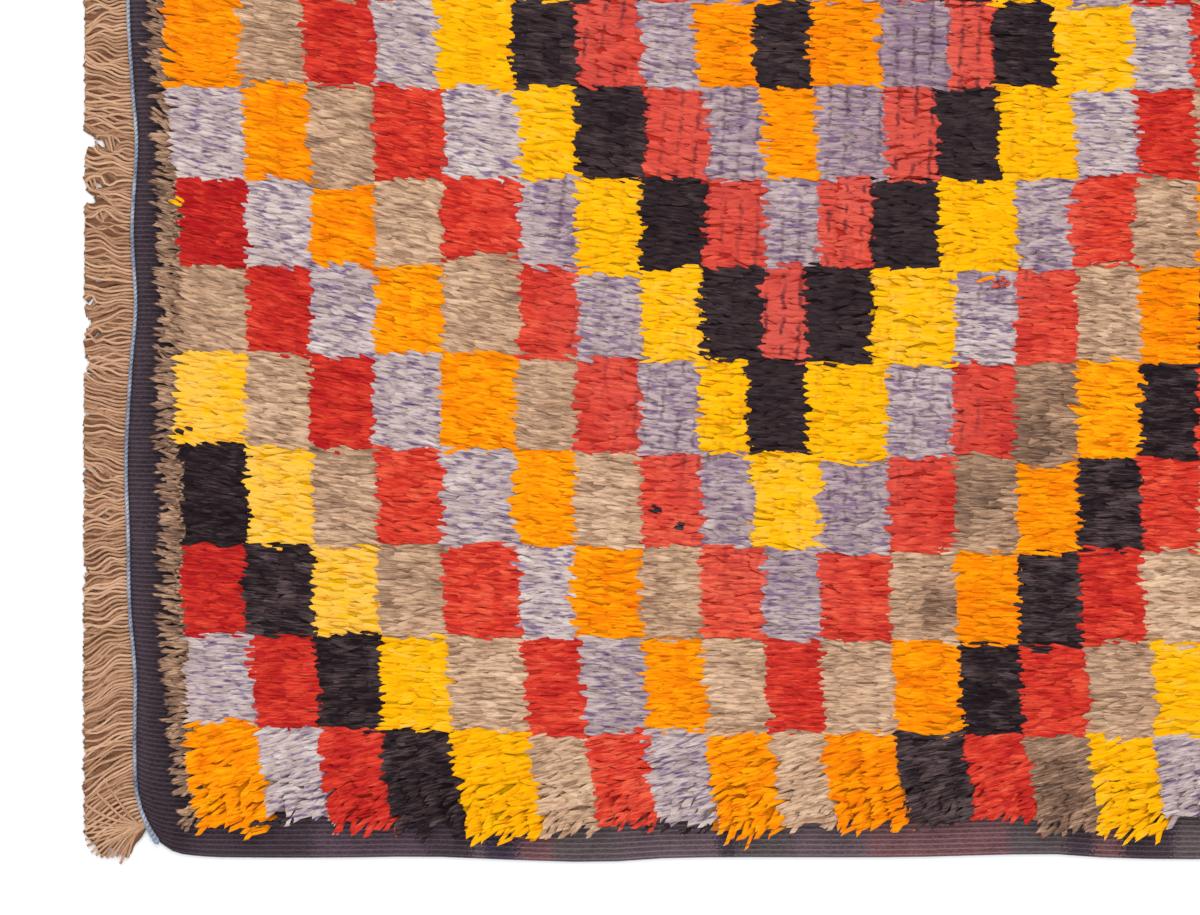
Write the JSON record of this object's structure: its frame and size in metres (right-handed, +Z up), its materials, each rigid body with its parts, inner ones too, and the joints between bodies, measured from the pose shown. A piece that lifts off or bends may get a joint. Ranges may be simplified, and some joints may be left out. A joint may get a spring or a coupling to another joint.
{
  "type": "tulu rug",
  "caption": "Flat hand-knotted shag rug with nested diamonds of coloured blocks, flat-woven end bands, twined cords and warp fringes at both ends.",
  "frame": {"origin": "middle of the rug's underside, on the surface it lies on", "axes": "+X along the warps, from the fringe at the picture's left to the hidden one; +Y along the wefts, up in the picture; +Z up, out of the pile"},
  "size_m": [1.168, 1.3072, 0.0168],
  "materials": {
    "ground_wool": "dark weft-faced flat weave of matt wool",
    "pile_wool": "long soft knotted wool pile in blocks of orange, yellow, red, lavender, camel and black",
    "cord_wool": "blue twined wool",
    "fringe_wool": "undyed plied warp wool, matt"
  },
  "bodies": {
    "root": {"woven_ground": "ground_wool", "pile_field": "pile_wool", "end_cord_left": "cord_wool", "end_cord_right": "cord_wool", "fringe_left": "fringe_wool", "fringe_right": "fringe_wool"}
  },
  "joints": []
}
